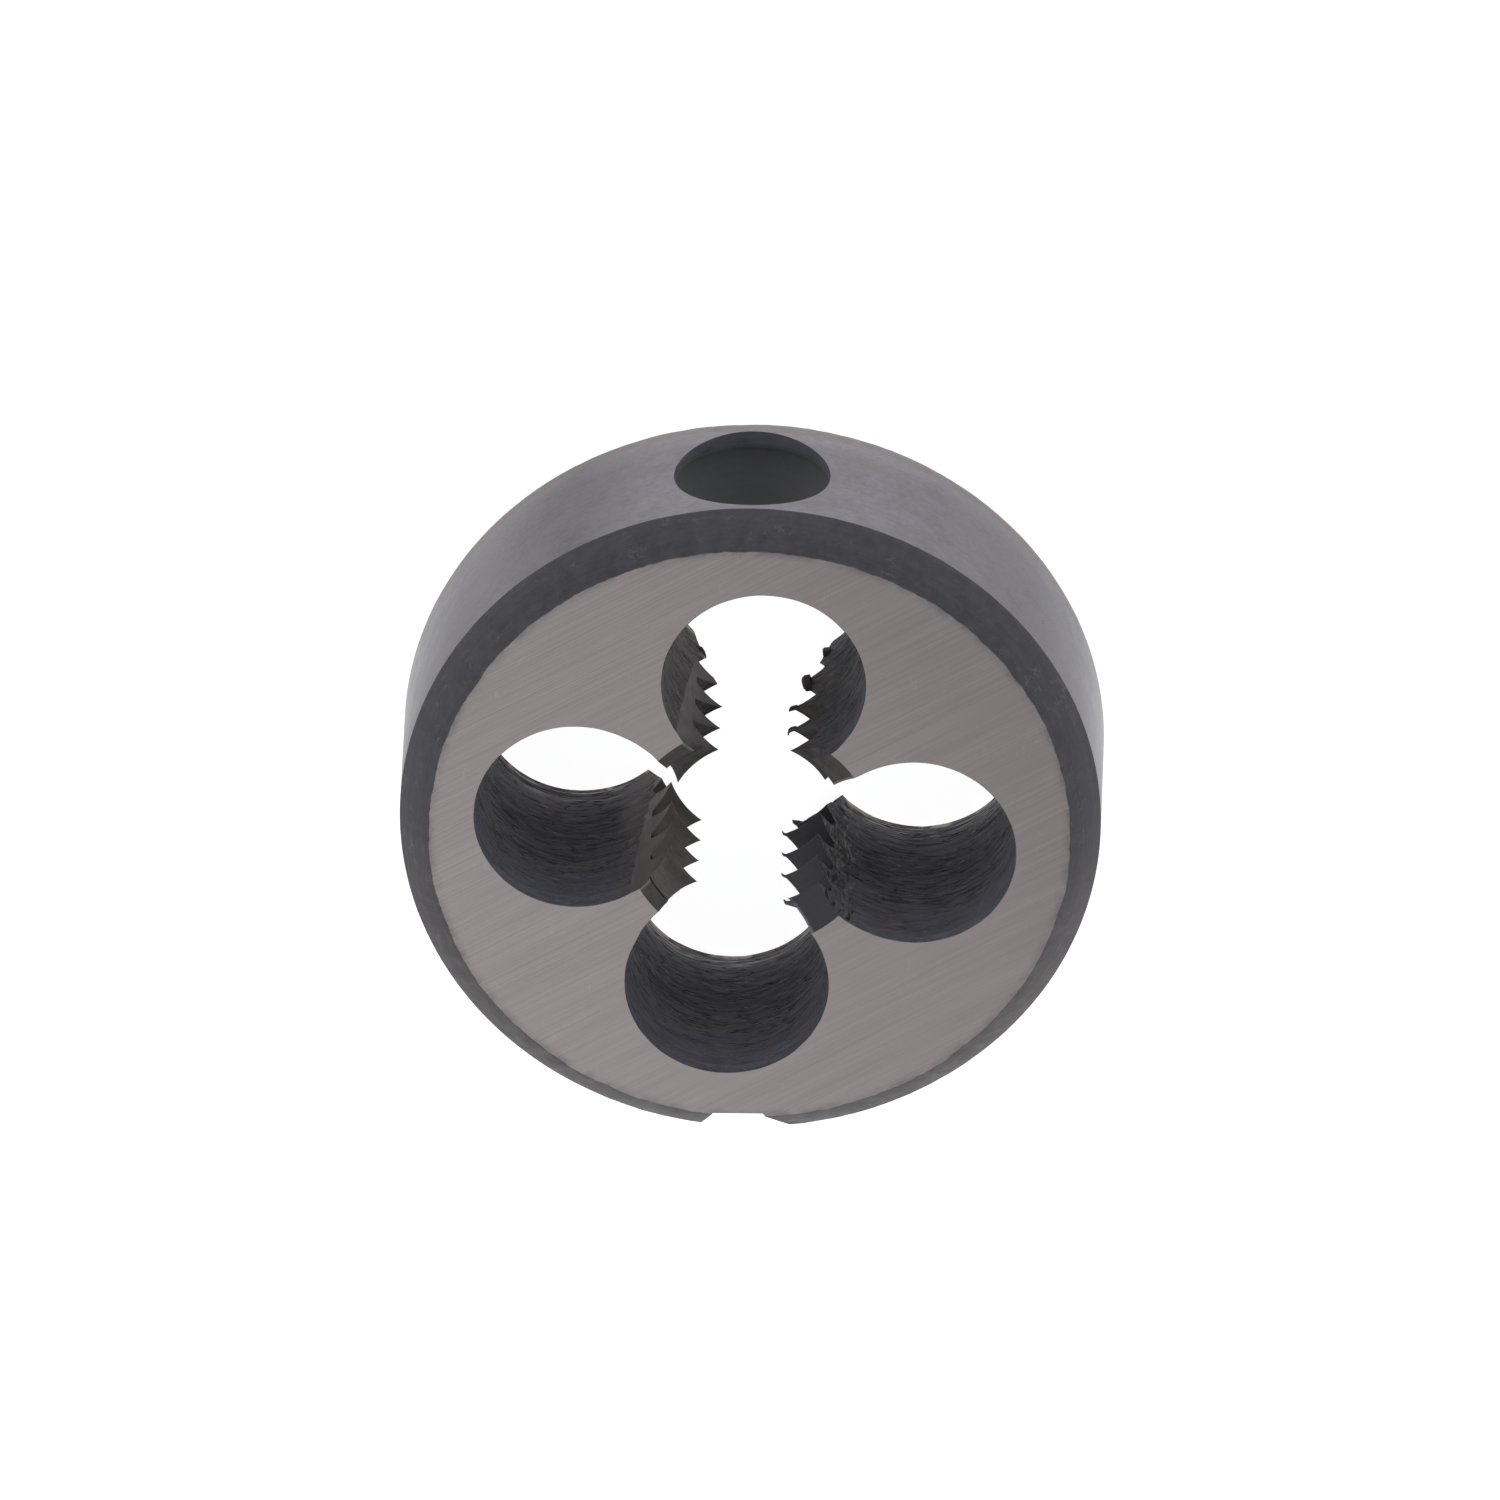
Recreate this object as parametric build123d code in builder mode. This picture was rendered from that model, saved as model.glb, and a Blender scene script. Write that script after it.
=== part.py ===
"""Round threading die for a quarter inch, 20 turns an inch external thread.

One piece of hardened tool steel. The blank is turned and chamfered at both rims, and bored with a
lead cone at each end. The thread is cut in the bore, then four chip holes are drilled so that they
break into it, which leaves four lands with cutting teeth, and each land's cutting side is ground from
its chip hole. A dimple drilled in the rim takes the set screw of the die stock, and a notch milled in
the rim opposite it marks where the die may be split.

Millimetres. The die's axis is Z. The start face, where the work goes in at the long lead cone, lies on
Z = 0, and the exit face with the short lead cone is at the top. The set screw dimple is on +Y and the
notch on -Y.
"""
from build123d import *
import os
from math import atan2, ceil, degrees, radians, tan

# Turned blank
die_diameter = 20.0
die_thickness = 7.0
start_chamfer_width = 0.77
start_chamfer_height = 0.91
exit_chamfer_width = 0.84
exit_chamfer_height = 0.99

# Bore, a hair off the die's axis towards the notch, with a lead cone at each end
bore_diameter = 4.77
bore_shift = -0.09
start_lead_diameter = 6.9
start_lead_angle = 46.0
exit_lead_diameter = 7.14
exit_lead_angle = 120.0

# Thread in the bore: right hand, sixty degree flanks, nearly sharp crests at the teeth
thread_pitch = 1.27
thread_root_diameter = 6.44
thread_flank_angle = 60.0
thread_crest_flat = 0.05
thread_start_height = 0.36

# Chip holes, drilled as one square pattern a little off the die's axis
chip_hole_diameter = 5.8
chip_hole_count = 4
chip_circle_diameter = 9.7
chip_circle_shift = -0.13
chip_pattern_turn = -6.2

# Rake: a small wheel, set off each chip hole's centre, leans and so cuts deeper towards the exit face
rake_wheel_diameter = 4.8
rake_wheel_turn = 160.2
rake_offset_start = 0.506
rake_offset_exit = 0.624

# Set screw dimple, a flat drilled seat with the drill's point at its bottom
dimple_diameter = 4.46
dimple_wall_depth = 0.45
dimple_point_angle = 118.0
dimple_height = 3.55

# Notch in the rim, with flanks that lean unequally
notch_floor_width = 1.42
notch_depth = 0.95
notch_shift = -0.34
notch_left_lean = 23.0
notch_right_lean = 41.0

# Worked out from the sizes above
die_radius = die_diameter / 2
bore_radius = bore_diameter / 2
root_radius = thread_root_diameter / 2
start_lead_radius = start_lead_diameter / 2
exit_lead_radius = exit_lead_diameter / 2
start_lead_depth = (start_lead_radius - bore_radius) / tan(radians(start_lead_angle / 2))
exit_lead_depth = (exit_lead_radius - bore_radius) / tan(radians(exit_lead_angle / 2))
rake_lean = degrees(atan2(rake_offset_exit - rake_offset_start, die_thickness))
dimple_radius = dimple_diameter / 2
dimple_point_length = dimple_radius / tan(radians(dimple_point_angle / 2))
dimple_floor_y = die_radius - dimple_wall_depth
notch_floor_y = notch_depth - die_radius

# The bore's own section plane and axis
bore_plane = Plane(origin=(0, bore_shift, 0), x_dir=(1, 0, 0), z_dir=(0, -1, 0))
bore_axis = Axis((0, bore_shift, 0), (0, 0, 1))

# One turn of the thread groove. It starts and ends inside a chip hole, where it cuts nothing, and its
# section reaches a little way into the bore, so that the bore's wall leaves the crest flats.
groove_reach = thread_crest_flat / 2
flank_slope = tan(radians(thread_flank_angle / 2))
groove_mouth = thread_pitch - thread_crest_flat + 2 * groove_reach * flank_slope
groove_floor = groove_mouth - 2 * (root_radius - bore_radius + groove_reach) * flank_slope
groove_height = thread_start_height - thread_pitch / 2

with BuildPart() as groove_turn:
    with BuildLine() as groove_path:
        Helix(thread_pitch, thread_pitch, bore_radius, center=(0, bore_shift, groove_height))
    with BuildSketch(bore_plane) as groove_section:
        with BuildLine():
            Polyline(
                (bore_radius - groove_reach, groove_height - groove_mouth / 2),
                (root_radius, groove_height - groove_floor / 2),
                (root_radius, groove_height + groove_floor / 2),
                (bore_radius - groove_reach, groove_height + groove_mouth / 2),
                close=True,
            )
        make_face()
    sweep(path=groove_path.line, is_frenet=True)

with BuildPart() as threading_die:
    # Turned blank
    with BuildSketch(Plane.XZ) as blank_section:
        with BuildLine():
            Polyline(
                (0, 0),
                (die_radius - start_chamfer_width, 0),
                (die_radius, start_chamfer_height),
                (die_radius, die_thickness - exit_chamfer_height),
                (die_radius - exit_chamfer_width, die_thickness),
                (0, die_thickness),
                close=True,
            )
        make_face()
    revolve(axis=Axis.Z)

    # Bore with a lead cone at each end
    with BuildSketch(bore_plane) as bore_section:
        with BuildLine():
            Polyline(
                (0, 0),
                (start_lead_radius, 0),
                (bore_radius, start_lead_depth),
                (bore_radius, die_thickness - exit_lead_depth),
                (exit_lead_radius, die_thickness),
                (0, die_thickness),
                close=True,
            )
        make_face()
    revolve(axis=bore_axis, mode=Mode.SUBTRACT)

    # Chip holes
    with Locations((chip_circle_shift, 0, die_thickness)):
        with PolarLocations(chip_circle_diameter / 2, chip_hole_count, 90 + chip_pattern_turn):
            Hole(chip_hole_diameter / 2)

    # Rake, ground into each land's cutting side
    wheel_offset = (rake_offset_start + rake_offset_exit) / 2
    wheel_place = Rot(Z=rake_wheel_turn) * Pos(X=wheel_offset) * Rot(Y=rake_lean)
    with Locations((chip_circle_shift, 0, die_thickness / 2)):
        with PolarLocations(chip_circle_diameter / 2, chip_hole_count, 90 + chip_pattern_turn):
            with Locations(wheel_place):
                Cylinder(rake_wheel_diameter / 2, 2 * die_thickness, mode=Mode.SUBTRACT)

    # Thread groove, turn by turn from below the start face to above the exit face
    turn_count = ceil(die_thickness / thread_pitch) + 3
    with Locations([(0, 0, (turn - 1) * thread_pitch) for turn in range(turn_count)]):
        add(groove_turn.part, mode=Mode.SUBTRACT)

    # Set screw dimple, as the drill leaves it
    with BuildSketch(Plane.YZ) as drill_section:
        with BuildLine():
            Polyline(
                (dimple_floor_y - dimple_point_length, dimple_height),
                (dimple_floor_y, dimple_height + dimple_radius),
                (die_radius + dimple_wall_depth, dimple_height + dimple_radius),
                (die_radius + dimple_wall_depth, dimple_height),
                close=True,
            )
        make_face()
    revolve(axis=Axis((0, 0, dimple_height), (0, 1, 0)), mode=Mode.SUBTRACT)

    # Notch through the rim, opposite the dimple
    floor_left = notch_shift - notch_floor_width / 2
    floor_right = notch_shift + notch_floor_width / 2
    mouth_y = notch_floor_y - 2 * notch_depth
    mouth_left = floor_left - 2 * notch_depth * tan(radians(notch_left_lean))
    mouth_right = floor_right + 2 * notch_depth * tan(radians(notch_right_lean))
    with BuildSketch(Plane.XY) as notch_section:
        with BuildLine():
            Polyline(
                (floor_left, notch_floor_y),
                (floor_right, notch_floor_y),
                (mouth_right, mouth_y),
                (mouth_left, mouth_y),
                close=True,
            )
        make_face()
    extrude(amount=die_thickness, mode=Mode.SUBTRACT)

threading_die.part.label = "threading_die"

os.makedirs("parts", exist_ok=True)
export_step(threading_die.part, "parts/threading_die.step")
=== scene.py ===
"""Round threading die: the look of the hardened and ground steel, cut by cut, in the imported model's frame."""
from math import atan2, cos, hypot, pi, radians, sin, tan

import bmesh
import bpy
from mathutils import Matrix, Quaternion, Vector, noise


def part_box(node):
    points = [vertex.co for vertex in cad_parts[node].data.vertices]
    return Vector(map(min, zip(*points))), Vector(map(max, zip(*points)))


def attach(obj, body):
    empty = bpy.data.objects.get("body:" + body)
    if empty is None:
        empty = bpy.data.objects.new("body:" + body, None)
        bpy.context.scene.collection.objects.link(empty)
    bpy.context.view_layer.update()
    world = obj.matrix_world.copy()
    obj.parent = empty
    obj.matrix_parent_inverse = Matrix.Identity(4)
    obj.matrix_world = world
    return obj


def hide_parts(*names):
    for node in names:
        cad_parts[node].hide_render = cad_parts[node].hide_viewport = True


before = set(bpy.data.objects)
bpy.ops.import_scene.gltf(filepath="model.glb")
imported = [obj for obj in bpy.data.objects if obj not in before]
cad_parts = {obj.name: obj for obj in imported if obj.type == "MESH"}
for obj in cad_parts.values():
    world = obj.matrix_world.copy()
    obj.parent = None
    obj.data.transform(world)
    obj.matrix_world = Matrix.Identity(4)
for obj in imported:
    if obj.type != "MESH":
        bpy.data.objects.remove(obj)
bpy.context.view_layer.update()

# The camera stands well back on a long lens, so that its view is nearly parallel, as in the photograph. It
# looks down on the die, rolled so that the set screw dimple is at the top of the picture.
view_distance = 1.9
view_elevation = radians(61.68)
view_azimuth = radians(2.3)
view_roll = radians(-177.366)
view_width = 0.04282
view_aim = Vector((-0.000072, 0.000665, 0.003143))
view_back = Vector((
    sin(view_azimuth) * cos(view_elevation),
    cos(view_azimuth) * cos(view_elevation),
    sin(view_elevation),
))
camera_sensor = 36.0
camera = bpy.data.objects.new("camera", bpy.data.cameras.new("camera"))
bpy.context.scene.collection.objects.link(camera)
camera.data.sensor_width = camera_sensor
camera.data.lens = camera_sensor * view_distance / view_width
camera.location = view_aim + view_back * view_distance
camera.rotation_mode = "QUATERNION"
camera.rotation_quaternion = view_back.to_track_quat("Z", "Y") @ Quaternion((0, 0, 1), view_roll)
bpy.context.scene.camera = camera

# A pale table under the die, lit softly from below as well as from the studio, so that it stays light inside
# the holes too. It lies a hair below the start face, so that the two never share a plane.
floor_size = 4.0
floor_colour = (0.5, 0.5, 0.5, 1)
floor_roughness = 0.9
floor_glow = 0.92
floor_drop = 0.00001
bpy.ops.object.select_all(action="DESELECT")
bpy.ops.mesh.primitive_plane_add(size=floor_size, location=(0, 0, -floor_drop))
floor = bpy.context.object
floor.name = "table_top"
table_white = bpy.data.materials.new("table_white")
table_white.use_nodes = True
table_shader = table_white.node_tree.nodes["Principled BSDF"]
table_shader.inputs["Base Color"].default_value = floor_colour
table_shader.inputs["Roughness"].default_value = floor_roughness
table_shader.inputs["Emission Color"].default_value = (1, 1, 1, 1)
table_shader.inputs["Emission Strength"].default_value = floor_glow
floor.data.materials.append(table_white)

# Plain studio light: an even pale room, and a small softbox close above the die, on the side of the notch.
room_light = (0.55, 0.56, 0.58, 1)
softbox_place = (-0.035, -0.11, 0.15)
softbox_size = 0.06
softbox_power = 0.04
room = bpy.data.worlds.new("room")
bpy.context.scene.world = room
room.use_nodes = True
room.node_tree.nodes["Background"].inputs["Color"].default_value = room_light
bpy.context.scene.view_settings.view_transform = "Standard"


def softbox(name, place, size, power):
    """A square area light at a place, turned to the die."""
    light = bpy.data.lights.new(name, "AREA")
    light.size = size
    light.energy = power
    box = bpy.data.objects.new(name, light)
    bpy.context.scene.collection.objects.link(box)
    box.location = place
    box.rotation_mode = "QUATERNION"
    box.rotation_quaternion = Vector(place).to_track_quat("Z", "Y")
    return box


softbox("softbox_over", softbox_place, softbox_size, softbox_power)

# The blank is a slice of tool steel bar, turned to size, with a broad chamfer at both rims. Both faces are
# ground after hardening, so they are bright, with straight grinding lines, and the chamfers keep their dark
# skin.
die_low, die_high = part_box("threading_die")
die_radius = (die_high.x - die_low.x) / 2
die_thickness = die_high.z - die_low.z
start_chamfer_width = 0.00077
start_chamfer_height = 0.00091
exit_chamfer_width = 0.00084
exit_chamfer_height = 0.00099
blank_segments = 480
edge_break = 0.00002
rim_ragged = 0.00002
face_ragged = 0.00004
facing_flat = 0.9
facing_wall = 0.1


def select_faces(piece, wanted):
    """Selects the faces of a piece in edit mode whose centre and normal are wanted, and nothing else."""
    shell = bmesh.from_edit_mesh(piece.data)
    bpy.ops.mesh.select_all(action="DESELECT")
    for face in shell.faces:
        if wanted(face.calc_center_median(), face.normal):
            face.select_set(True)
    bmesh.update_edit_mesh(piece.data)


def select_edges(piece, wanted):
    """Selects the edges of a piece in edit mode whose two ends are wanted, and nothing else."""
    shell = bmesh.from_edit_mesh(piece.data)
    bpy.ops.mesh.select_all(action="DESELECT")
    for edge in shell.edges:
        if wanted(edge.verts[0].co, edge.verts[1].co):
            edge.select_set(True)
    bmesh.update_edit_mesh(piece.data)


def ragged(place, seed):
    """How far an edge strays at a place, from about -1 to 1. The place is in metres."""
    spot = place * 1000
    coarse = noise.noise(spot * 0.9 + Vector((0, 0, seed)))
    fine = noise.noise(spot * 3.7 + Vector((0, 0, 2.3 * seed)))
    finest = noise.noise(spot * 9 + Vector((0, 0, 3.1 * seed)))
    return 0.8 * coarse + 0.7 * fine + 0.5 * finest


bpy.ops.object.select_all(action="DESELECT")
bpy.ops.mesh.primitive_cylinder_add(
    vertices=blank_segments,
    radius=die_radius,
    depth=die_thickness - start_chamfer_height - exit_chamfer_height,
    location=(0, 0, (die_thickness + start_chamfer_height - exit_chamfer_height) / 2),
)
die = bpy.context.object
die.name = "die_body"
bpy.ops.object.transform_apply(location=True, rotation=True, scale=True)
bpy.ops.object.mode_set(mode="EDIT")
bpy.ops.mesh.select_mode(type="FACE")
chamfers = ((-1, start_chamfer_width, start_chamfer_height), (1, exit_chamfer_width, exit_chamfer_height))
for side, chamfer_width, chamfer_height in chamfers:
    select_faces(die, lambda centre, normal: normal.z * side > facing_flat)
    bpy.ops.mesh.extrude_region_move(TRANSFORM_OT_translate={"value": (0, 0, side * chamfer_height)})
    face_share = 1 - chamfer_width / die_radius
    bpy.ops.transform.resize(value=(face_share, face_share, 1))
bpy.ops.mesh.select_mode(type="EDGE")
select_edges(die, lambda start, end: abs(start.z - end.z) < edge_break)
bpy.ops.mesh.bevel(offset=edge_break, segments=2, affect="EDGES")
bpy.ops.object.mode_set(mode="OBJECT")
for vertex in die.data.vertices:
    outward = Vector((vertex.co.x, vertex.co.y, 0)).normalized()
    if hypot(vertex.co.x, vertex.co.y) > die_radius - 2 * edge_break:
        vertex.co.z += rim_ragged * ragged(vertex.co, 1)
    else:
        vertex.co += outward * face_ragged * ragged(vertex.co, 2)


def node(tree, kind, inputs, **settings):
    """Adds a node with its settings. Each of its inputs is a value, or the output that feeds it."""
    made = tree.nodes.new(kind)
    for name, value in settings.items():
        setattr(made, name, value)
    for name, value in inputs.items():
        if isinstance(value, bpy.types.NodeSocket):
            tree.links.new(value, made.inputs[name])
        else:
            made.inputs[name].default_value = value
    return made


def number(tree, operation, *terms):
    """The result of a math node on numbers or outputs."""
    return node(tree, "ShaderNodeMath", dict(enumerate(terms)), operation=operation).outputs[0]


def vector(tree, operation, *terms, **named):
    """The result of a vector math node on vectors or outputs."""
    return node(tree, "ShaderNodeVectorMath", dict(enumerate(terms)) | named, operation=operation).outputs[0]


def span(tree, value, start, end):
    """A value turned into a soft step, 0 at the start and 1 at the end."""
    limits = {"Value": value, "From Min": start, "From Max": end}
    return node(tree, "ShaderNodeMapRange", limits, interpolation_type="SMOOTHSTEP").outputs["Result"]


def new_group(name, inputs, outputs):
    """A shader node group with its named sockets: the group, its inputs and its outputs, still unjoined."""
    group = bpy.data.node_groups.new(name, "ShaderNodeTree")
    for label, default in inputs.items():
        kind = "NodeSocketVector" if isinstance(default, tuple) else "NodeSocketFloat"
        group.interface.new_socket(label, in_out="INPUT", socket_type=kind).default_value = default
    for label in outputs:
        group.interface.new_socket(label, in_out="OUTPUT", socket_type="NodeSocketFloat")
    return group, group.nodes.new("NodeGroupInput").outputs, group.nodes.new("NodeGroupOutput").inputs


# Tool marks: noise whose cells are long along the tool's path and short across it, or even where a skin
# mottles.
tool_marks, given, result = new_group(
    "tool_marks", {"Place": (0, 0, 0), "Cells": (1, 1, 1), "Sway": 0.0, "Seed": 0.0}, ["Value"]
)
drift = node(tool_marks, "ShaderNodeTexNoise", {"Vector": given["Place"], "Scale": 1.1, "Detail": 1.0})
drift = vector(tool_marks, "SUBTRACT", drift.outputs["Color"], (0.5, 0.5, 0.5))
drift = vector(tool_marks, "SCALE", drift, Scale=given["Sway"])
marks = vector(tool_marks, "MULTIPLY", vector(tool_marks, "ADD", given["Place"], drift), given["Cells"])
marks = vector(tool_marks, "ADD", marks, given["Seed"])
marks = {"Vector": marks, "Scale": 1.0, "Detail": 3.0, "Roughness": 0.6}
marks = node(tool_marks, "ShaderNodeTexNoise", marks)
tool_marks.links.new(span(tool_marks, marks.outputs["Fac"], 0.25, 0.75), result["Value"])

# Tears: thin ragged lines that open here and there along the tool's path.
tears, given, result = new_group(
    "tears",
    {"Place": (0, 0, 0), "Cells": (1, 1, 1), "Sway": 0.0, "Seed": 0.0, "Width": 0.1, "Cover": 0.5},
    ["Mask"],
)
drift = node(tears, "ShaderNodeTexNoise", {"Vector": given["Place"], "Scale": 1.6, "Detail": 2.0})
drift = vector(tears, "SUBTRACT", drift.outputs["Color"], (0.5, 0.5, 0.5))
drift = vector(tears, "SCALE", drift, Scale=given["Sway"])
lines = vector(tears, "MULTIPLY", vector(tears, "ADD", given["Place"], drift), given["Cells"])
lines = vector(tears, "ADD", lines, given["Seed"])
lines = {"Vector": lines, "Scale": 1.0, "Detail": 2.0, "Roughness": 0.5}
lines = node(tears, "ShaderNodeTexNoise", lines)
from_line = number(tears, "ABSOLUTE", number(tears, "SUBTRACT", lines.outputs["Fac"], 0.5))
on_line = number(tears, "SUBTRACT", 1.0, span(tears, from_line, 0.0, given["Width"]))
patches = vector(tears, "MULTIPLY", given["Place"], (1.3, 1.3, 3.0))
patches = vector(tears, "ADD", patches, given["Seed"])
patches = node(tears, "ShaderNodeTexNoise", {"Vector": patches, "Scale": 1.0, "Detail": 1.0})
closed = number(tears, "SUBTRACT", 1.0, given["Cover"])
opened = number(tears, "SUBTRACT", patches.outputs["Fac"], closed)
tears.links.new(number(tears, "MULTIPLY", on_line, span(tears, opened, -0.08, 0.08)), result["Mask"])


def steel(name, colour, roughness, metallic=1.0, gloss=0.5):
    """A steel finish: its colour, its roughness, its share of clean metal, and how much the rest shines."""
    finish = bpy.data.materials.new(name)
    finish.use_nodes = True
    shader = finish.node_tree.nodes["Principled BSDF"]
    shader.inputs["Base Color"].default_value = (*colour, 1)
    shader.inputs["Roughness"].default_value = roughness
    shader.inputs["Metallic"].default_value = metallic
    shader.inputs["Specular IOR Level"].default_value = gloss
    return finish


def millimetres(finish, turn=0.0):
    """Places on the die in millimetres, turned about its axis."""
    tree = finish.node_tree
    place = node(tree, "ShaderNodeTexCoord", {}).outputs["Object"]
    turned = {"Vector": place, "Rotation": (0, 0, turn), "Scale": (1000, 1000, 1000)}
    return node(tree, "ShaderNodeMapping", turned).outputs["Vector"]


def along(finish, place, direction):
    """How far a place lies along a direction."""
    terms = {0: place, 1: direction}
    return node(finish.node_tree, "ShaderNodeVectorMath", terms, operation="DOT_PRODUCT").outputs["Value"]


def axis_distance(finish, place):
    """How far a place is from the die's axis."""
    flat = vector(finish.node_tree, "MULTIPLY", place, (1, 1, 0))
    return node(finish.node_tree, "ShaderNodeVectorMath", {0: flat}, operation="LENGTH").outputs["Value"]


def band(finish, value, middle, half_width):
    """A soft mask that is 1 where the value is at the middle, and 0 from the half width on."""
    away = number(finish.node_tree, "SUBTRACT", value, middle)
    return span(finish.node_tree, number(finish.node_tree, "ABSOLUTE", away), half_width, 0.0)


def both(finish, *masks):
    """Where all the masks meet."""
    met = masks[0]
    for mask in masks[1:]:
        met = number(finish.node_tree, "MULTIPLY", met, mask)
    return met


def effect(finish, group, output, **given):
    """One output of a node group placed in a finish, with the group's inputs as given."""
    made = node(finish.node_tree, "ShaderNodeGroup", {}, node_tree=group)
    for name, value in given.items():
        if isinstance(value, bpy.types.NodeSocket):
            finish.node_tree.links.new(value, made.inputs[name])
        else:
            made.inputs[name].default_value = value
    return made.outputs[output]


def under(finish, socket):
    """What feeds a socket of the finish's shader so far."""
    target = finish.node_tree.nodes["Principled BSDF"].inputs[socket]
    return target.links[0].from_socket if target.is_linked else target.default_value[:]


def feed(finish, socket, source):
    """Feeds a socket of the finish's shader."""
    finish.node_tree.links.new(source, finish.node_tree.nodes["Principled BSDF"].inputs[socket])


def shade(finish, value, darkest, lightest):
    """Scales a finish's colour by a value that runs from 0 to 1."""
    tree = finish.node_tree
    gain = node(tree, "ShaderNodeMapRange", {"Value": value, "To Min": darkest, "To Max": lightest})
    tone = node(tree, "ShaderNodeCombineColor", {0: gain.outputs[0], 1: gain.outputs[0], 2: gain.outputs[0]})
    mix = {0: 1.0, 6: under(finish, "Base Color"), 7: tone.outputs[0]}
    mixed = node(tree, "ShaderNodeMix", mix, data_type="RGBA", blend_type="MULTIPLY")
    feed(finish, "Base Color", mixed.outputs[2])


def lay(finish, mask, colour, strength=1.0):
    """Lays a colour over a finish where the mask is 1."""
    tree = finish.node_tree
    mix = {0: number(tree, "MULTIPLY", mask, strength), 6: under(finish, "Base Color"), 7: (*colour, 1)}
    mixed = node(tree, "ShaderNodeMix", mix, data_type="RGBA")
    feed(finish, "Base Color", mixed.outputs[2])


def roughen(finish, value, smoothest, roughest):
    """Sets a finish's roughness by a value that runs from 0 to 1."""
    limits = {"Value": value, "To Min": smoothest, "To Max": roughest}
    feed(finish, "Roughness", node(finish.node_tree, "ShaderNodeMapRange", limits).outputs[0])


def emboss(finish, height, depth):
    """Raises a finish's surface by a height that runs from 0 to 1, over what is embossed so far."""
    raised = {"Strength": 1.0, "Distance": depth, "Height": height}
    normal = finish.node_tree.nodes["Principled BSDF"].inputs["Normal"]
    if normal.is_linked:
        raised["Normal"] = normal.links[0].from_socket
    feed(finish, "Normal", node(finish.node_tree, "ShaderNodeBump", raised).outputs["Normal"])


# The ground faces: straight lines all across the face, fine ones in soft broad bands.
grind_turn = radians(-30)
ground_face = steel("ground_face", (0.246, 0.2225, 0.2215), 0.4)
place = millimetres(ground_face, grind_turn)
fine_lines = effect(ground_face, tool_marks, "Value", Place=place, Cells=(0.1, 16, 1), Sway=0.02)
short_lines = effect(ground_face, tool_marks, "Value", Place=place, Cells=(0.25, 11, 1), Sway=0.03, Seed=3.0)
bands = effect(ground_face, tool_marks, "Value", Place=place, Cells=(0.06, 1.9, 1), Sway=0.1, Seed=5.0)
clouds = effect(ground_face, tool_marks, "Value", Place=place, Cells=(0.4, 0.8, 1), Sway=0.5, Seed=9.0)
shade(ground_face, fine_lines, 0.91, 1.09)
shade(ground_face, short_lines, 0.935, 1.065)
shade(ground_face, bands, 0.955, 1.045)
lay(ground_face, clouds, (0.25, 0.2165, 0.213), 0.4)
roughen(ground_face, fine_lines, 0.36, 0.44)
emboss(ground_face, fine_lines, 0.000002)

# One side of the face is painted a little darker, as painted shade. Thin scratches run over it, and it fades in
# patches at its border.
place = millimetres(ground_face)
painted_shade_side = span(ground_face.node_tree, along(ground_face, place, (0.8, 0.6, 0)), 2, 8.5)
shade(ground_face, painted_shade_side, 1.0, 0.92)
scratches = effect(
    ground_face, tears, "Mask", Place=place, Cells=(2.2, 0.5, 1), Sway=0.5, Seed=14.0, Width=0.012, Cover=0.4
)
lay(ground_face, scratches, (0.4, 0.38, 0.37), 0.13)
face_radius = (die_radius - exit_chamfer_width) * 1000
fade = span(ground_face.node_tree, axis_distance(ground_face, place), face_radius - 0.3, face_radius + 0.05)
patches = effect(ground_face, tool_marks, "Value", Place=place, Cells=(1.6, 1.6, 1.6), Sway=0.6, Seed=15.0)
lay(ground_face, both(ground_face, fade, patches), (0.11, 0.104, 0.107), 0.75)

# The chamfers: turned before hardening, and dark and dull since.
dark_chamfer = steel("dark_chamfer", (0.084, 0.081, 0.09), 0.6, metallic=0.65)
place = millimetres(dark_chamfer)
mottle = effect(dark_chamfer, tool_marks, "Value", Place=place, Cells=(2.6, 2.6, 2.6), Sway=0.3)
turning = effect(dark_chamfer, tool_marks, "Value", Place=place, Cells=(0.35, 0.35, 9), Sway=0.05, Seed=4.0)
flecks = effect(
    dark_chamfer, tears, "Mask", Place=place, Cells=(1.5, 1.5, 4), Sway=0.4, Seed=8.0, Width=0.03, Cover=0.42
)
shade(dark_chamfer, mottle, 0.84, 1.16)
shade(dark_chamfer, turning, 0.93, 1.07)
notch_side = span(dark_chamfer.node_tree, along(dark_chamfer, place, (0, 1, 0)), 3, -6)
lay(dark_chamfer, notch_side, (0.092, 0.081, 0.082), 0.8)
lay(dark_chamfer, flecks, (0.17, 0.165, 0.165), 0.4)
# Painted light: the chamfer is painted lighter at one side of the notch.
painted_light_side = span(dark_chamfer.node_tree, along(dark_chamfer, place, (0.87, -0.5, 0)), 8.0, 9.8)
shade(dark_chamfer, painted_light_side, 1.0, 1.28)
# Painted shade: a near-black spot at the notch's corner.
notch_corner = vector(dark_chamfer.node_tree, "SUBTRACT", place, (1.1, -9.86, 6.05))
notch_corner = node(dark_chamfer.node_tree, "ShaderNodeVectorMath", {0: notch_corner}, operation="LENGTH")
notch_corner_shade = span(dark_chamfer.node_tree, notch_corner.outputs["Value"], 0.42, 0.12)
lay(dark_chamfer, notch_corner_shade, (0.018, 0.018, 0.018))
roughen(dark_chamfer, mottle, 0.54, 0.66)
emboss(dark_chamfer, mottle, 0.000006)
emboss(dark_chamfer, turning, 0.000003)
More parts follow.
